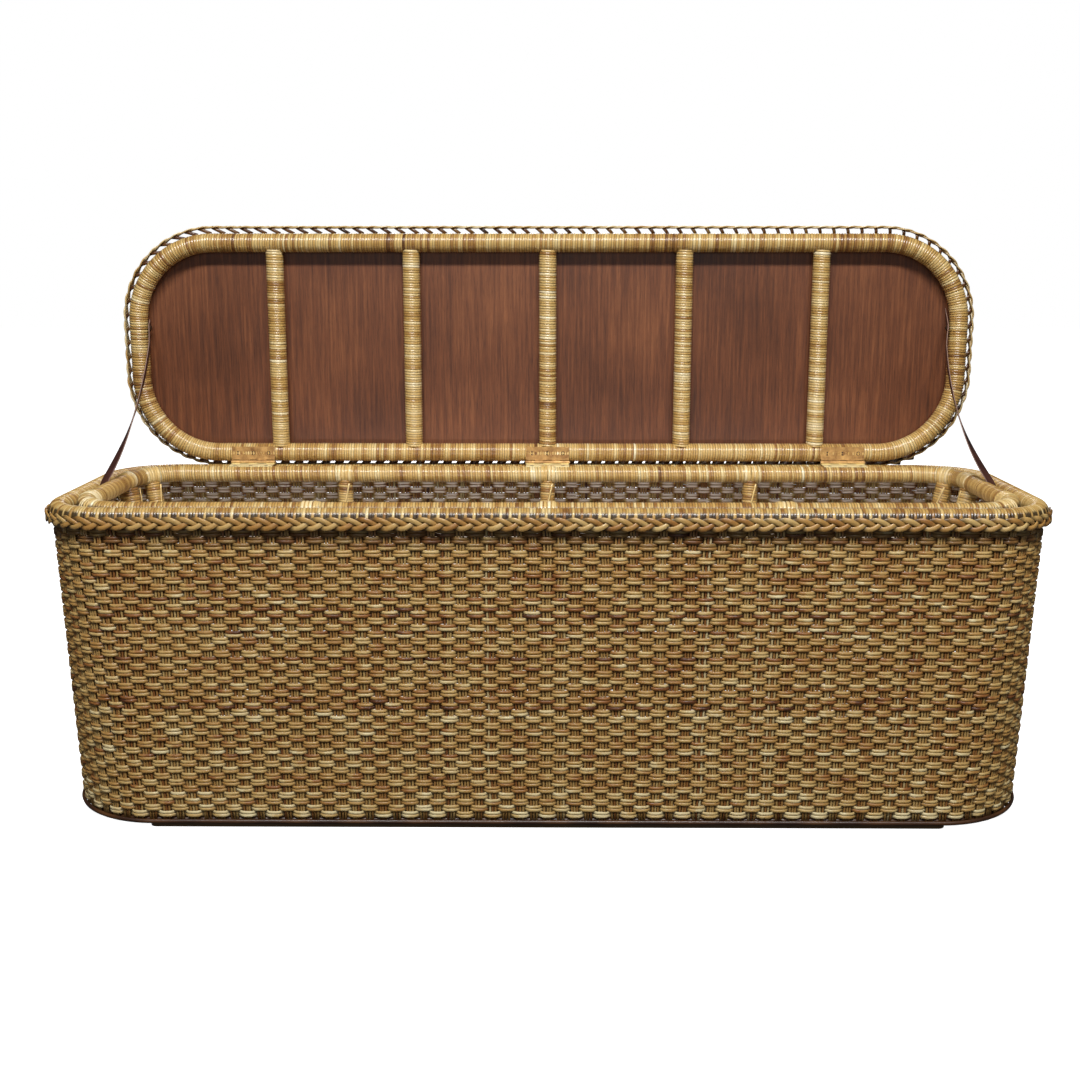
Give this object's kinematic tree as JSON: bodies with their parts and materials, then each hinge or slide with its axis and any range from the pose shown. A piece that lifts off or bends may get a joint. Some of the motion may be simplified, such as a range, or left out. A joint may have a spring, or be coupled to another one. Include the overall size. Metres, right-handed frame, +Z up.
{
  "type": "storage trunk",
  "caption": "Long woven cane storage trunk with a hinged lid on leather straps, cane-wrapped rim poles and a plaited border.",
  "frame": {"origin": "centre of the base, on the surface that the trunk stands on", "axes": "+X along the trunk to the right of someone facing its front, +Y to the back where the hinges are, +Z up; the lid is stored open"},
  "size_m": [1.3, 0.4051, 0.7733],
  "materials": {
    "woven_cane": "glossy lacquered split cane, plain weave",
    "braid_cane": "glossy lacquered plaited cane",
    "wrapped_pole": "rattan pole wrapped in narrow lacquered cane",
    "mahogany_ply": "satin red-brown veneer",
    "plywood": "plain sealed plywood",
    "pale_wood": "plain sealed wood",
    "brass": "aged brass",
    "brass_dark": "tarnished brass",
    "leather": "dark brown smooth leather"
  },
  "bodies": {
    "trunk": {"base_ring": "wrapped_pole", "base_runner_back": "pale_wood", "base_runner_front": "pale_wood", "base_runner_middle": "pale_wood", "bottom_board": "plywood", "hinge_body_leaf_centre": "brass", "hinge_body_leaf_left": "brass", "hinge_body_leaf_right": "brass", "hinge_body_screws": "brass", "hinge_pin_centre": "brass", "hinge_pin_left": "brass", "hinge_pin_right": "brass", "inner_rim_ring": "wrapped_pole", "outer_rim_ring": "wrapped_pole", "post_back_centre": "wrapped_pole", "post_back_left": "wrapped_pole", "post_back_right": "wrapped_pole", "post_corner_back_left": "wrapped_pole", "post_corner_back_right": "wrapped_pole", "post_corner_front_left": "wrapped_pole", "post_corner_front_right": "wrapped_pole", "post_end_back_left": "wrapped_pole", "post_end_back_right": "wrapped_pole", "post_end_front_left": "wrapped_pole", "post_end_front_right": "wrapped_pole", "post_front_centre": "wrapped_pole", "post_front_left": "wrapped_pole", "post_front_right": "wrapped_pole", "rim_braid": "braid_cane", "rim_strap_studs": "brass_dark", "strap_left": "leather", "strap_right": "leather", "woven_wall": "woven_cane"},
    "lid": {"hinge_lid_leaf_centre": "brass", "hinge_lid_leaf_left": "brass", "hinge_lid_leaf_right": "brass", "hinge_lid_screws": "brass", "lid_braid": "braid_cane", "lid_braid_ties": "braid_cane", "lid_crossbar_1": "wrapped_pole", "lid_crossbar_2": "wrapped_pole", "lid_crossbar_3": "wrapped_pole", "lid_crossbar_4": "wrapped_pole", "lid_crossbar_5": "wrapped_pole", "lid_panel": "mahogany_ply", "lid_ring": "wrapped_pole", "lid_strap_studs": "brass_dark", "lid_woven_top": "woven_cane"}
  },
  "joints": [
    {"name": "lid_hinge", "type": "hinge", "parent": "trunk", "child": "lid", "pos_m": [0, 0.164, 0.4285], "axis": [1, 0, 0], "range_deg": [0, 91.5], "deforming": ["strap_left", "strap_right"]}
  ]
}
